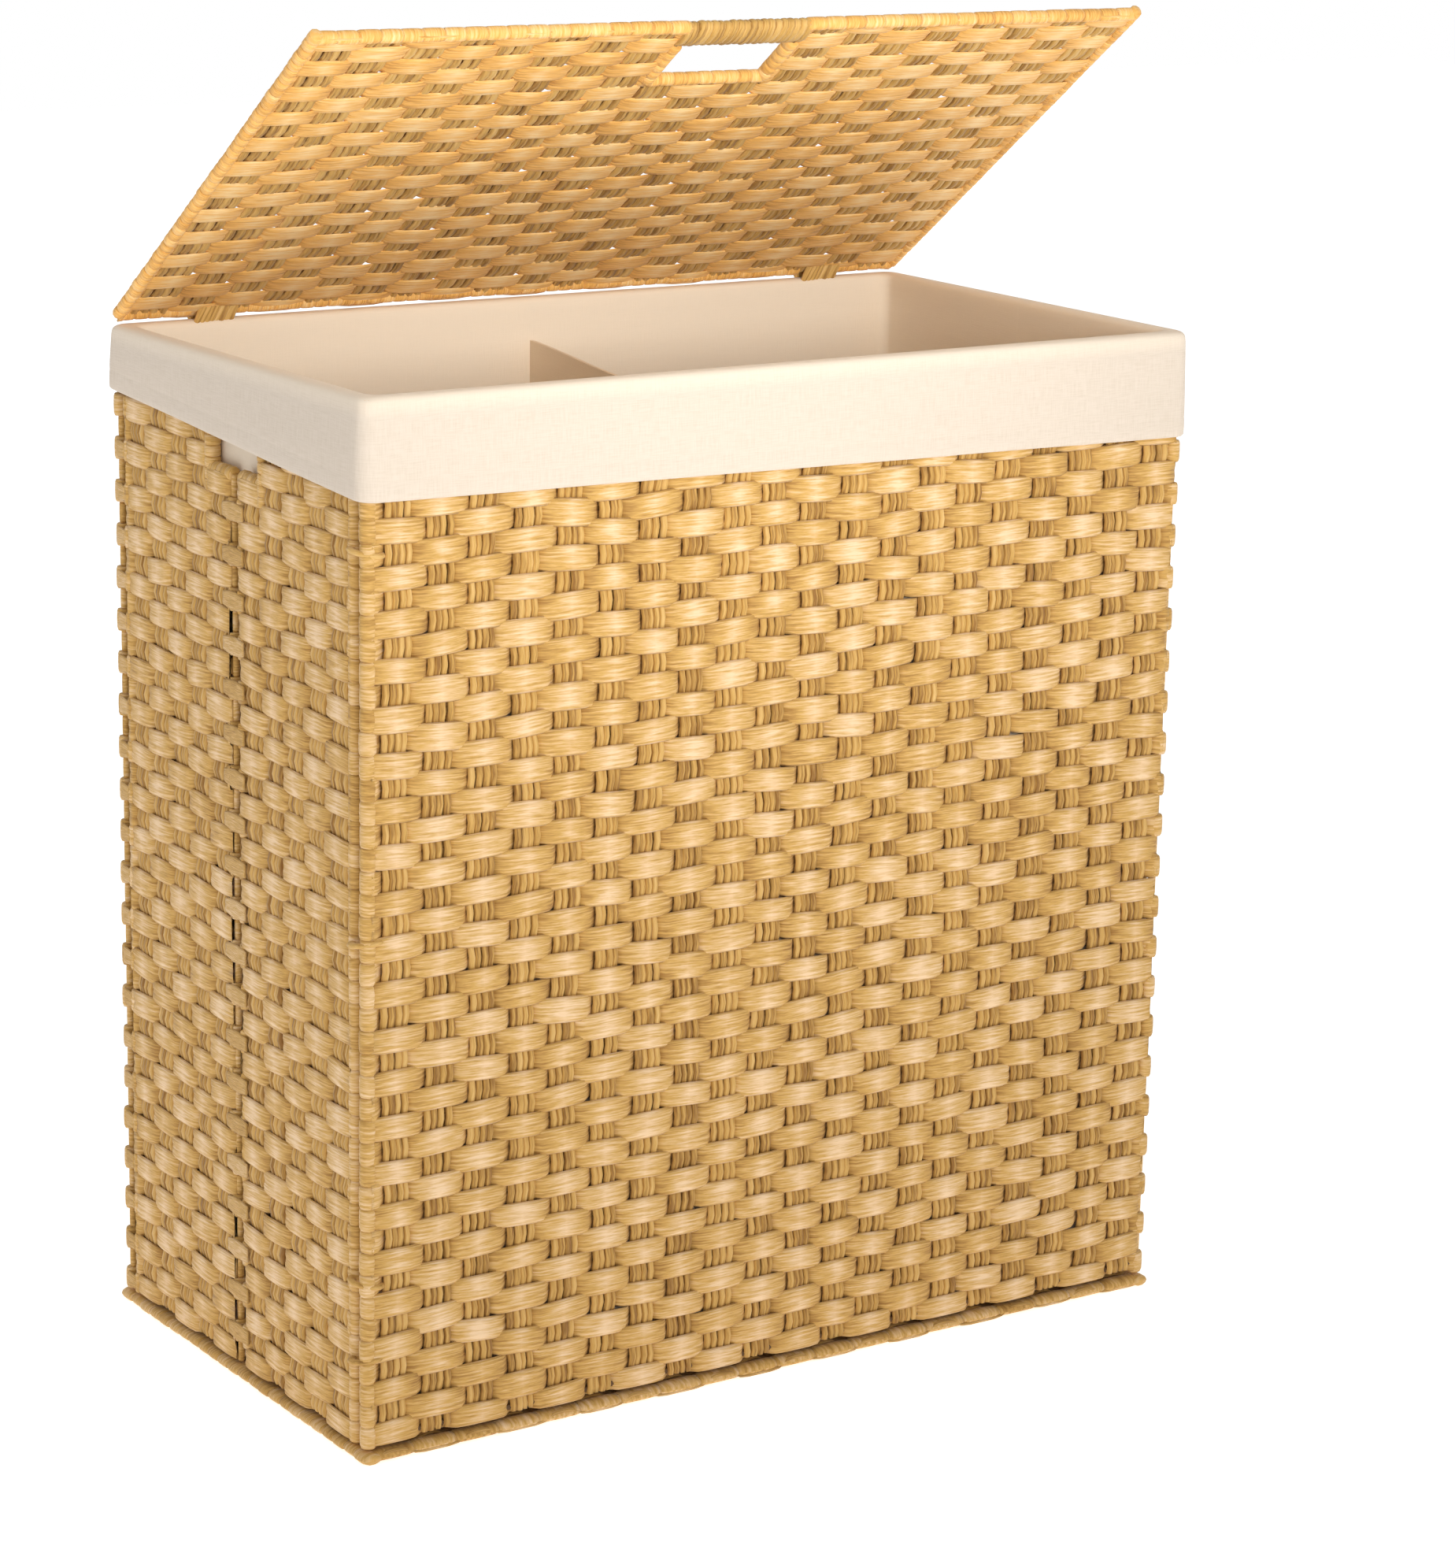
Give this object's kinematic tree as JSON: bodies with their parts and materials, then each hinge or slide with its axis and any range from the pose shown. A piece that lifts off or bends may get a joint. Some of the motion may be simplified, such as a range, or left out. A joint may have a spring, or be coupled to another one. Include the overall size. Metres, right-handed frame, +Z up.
{
  "type": "laundry basket woven",
  "caption": "Tall rectangular woven laundry basket with a hinged lid, a cloth liner with a turned-down cuff, a cloth divider, hand holes and fold-in sides.",
  "frame": {"origin": "middle of the base's underside, on the floor", "axes": "+Z up; +X along the width, to the right for someone who faces the front; +Y towards the back wall, which carries the lid"},
  "size_m": [0.5588, 0.3048, 0.7861],
  "materials": {
    "weave": "matte",
    "wire": "satin",
    "linen": "matte",
    "twine": "matte"
  },
  "bodies": {
    "root": {"base_mat": "weave", "base_wire": "wire", "back_wall_weave": "weave", "back_wall_wire": "wire", "liner_back": "linen", "liner_floor": "linen", "liner_divider": "linen", "hinge_band_left": "twine", "hinge_band_right": "twine"},
    "left_rear_half": {"left_rear_weave": "weave", "left_rear_wire": "wire", "left_rear_post": "wire", "liner_left_rear": "linen"},
    "left_front_half": {"left_front_weave": "weave", "left_front_wire": "wire", "left_front_post": "wire", "liner_left_front": "linen"},
    "right_rear_half": {"right_rear_weave": "weave", "right_rear_wire": "wire", "right_rear_post": "wire", "liner_right_rear": "linen"},
    "right_front_half": {"right_front_weave": "weave", "right_front_wire": "wire", "right_front_post": "wire", "liner_right_front": "linen"},
    "front_wall": {"front_wall_weave": "weave", "front_wall_wire": "wire", "liner_front": "linen"},
    "lid": {"lid_weave": "weave", "lid_wire": "wire", "lid_post_left": "wire", "lid_post_right": "wire"}
  },
  "joints": [
    {"name": "lid_hinge", "type": "hinge", "parent": "root", "child": "lid", "pos_m": [0, 0.146, 0.6046], "axis": [-1, 0, 0], "range_deg": [-36.5, 143.5]},
    {"name": "left_rear_fold", "type": "hinge", "parent": "root", "child": "left_rear_half", "pos_m": [-0.2662, 0.1392, 0.3], "axis": [0, 0, 1], "range_deg": [0, 90], "deforming": ["liner_divider"]},
    {"name": "left_middle_fold", "type": "hinge", "parent": "left_rear_half", "child": "left_front_half", "pos_m": [-0.2798, 0, 0.3], "axis": [0, 0, 1], "range_deg": [-180, 0]},
    {"name": "front_left_fold", "type": "hinge", "parent": "left_front_half", "child": "front_wall", "pos_m": [-0.2662, -0.1392, 0.3], "axis": [0, 0, 1], "range_deg": [0, 90]},
    {"name": "right_rear_fold", "type": "hinge", "parent": "root", "child": "right_rear_half", "pos_m": [0.2662, 0.1392, 0.3], "axis": [0, 0, 1], "range_deg": [-90, 0]},
    {"name": "right_middle_fold", "type": "hinge", "parent": "right_rear_half", "child": "right_front_half", "pos_m": [0.2798, 0, 0.3], "axis": [0, 0, 1], "range_deg": [0, 180]}
  ],
  "couplings": [
    {"joint": "left_middle_fold", "follows": "left_rear_fold", "ratio": -2},
    {"joint": "front_left_fold", "follows": "left_rear_fold", "ratio": 1},
    {"joint": "right_rear_fold", "follows": "left_rear_fold", "ratio": -1},
    {"joint": "right_middle_fold", "follows": "left_rear_fold", "ratio": 2}
  ]
}
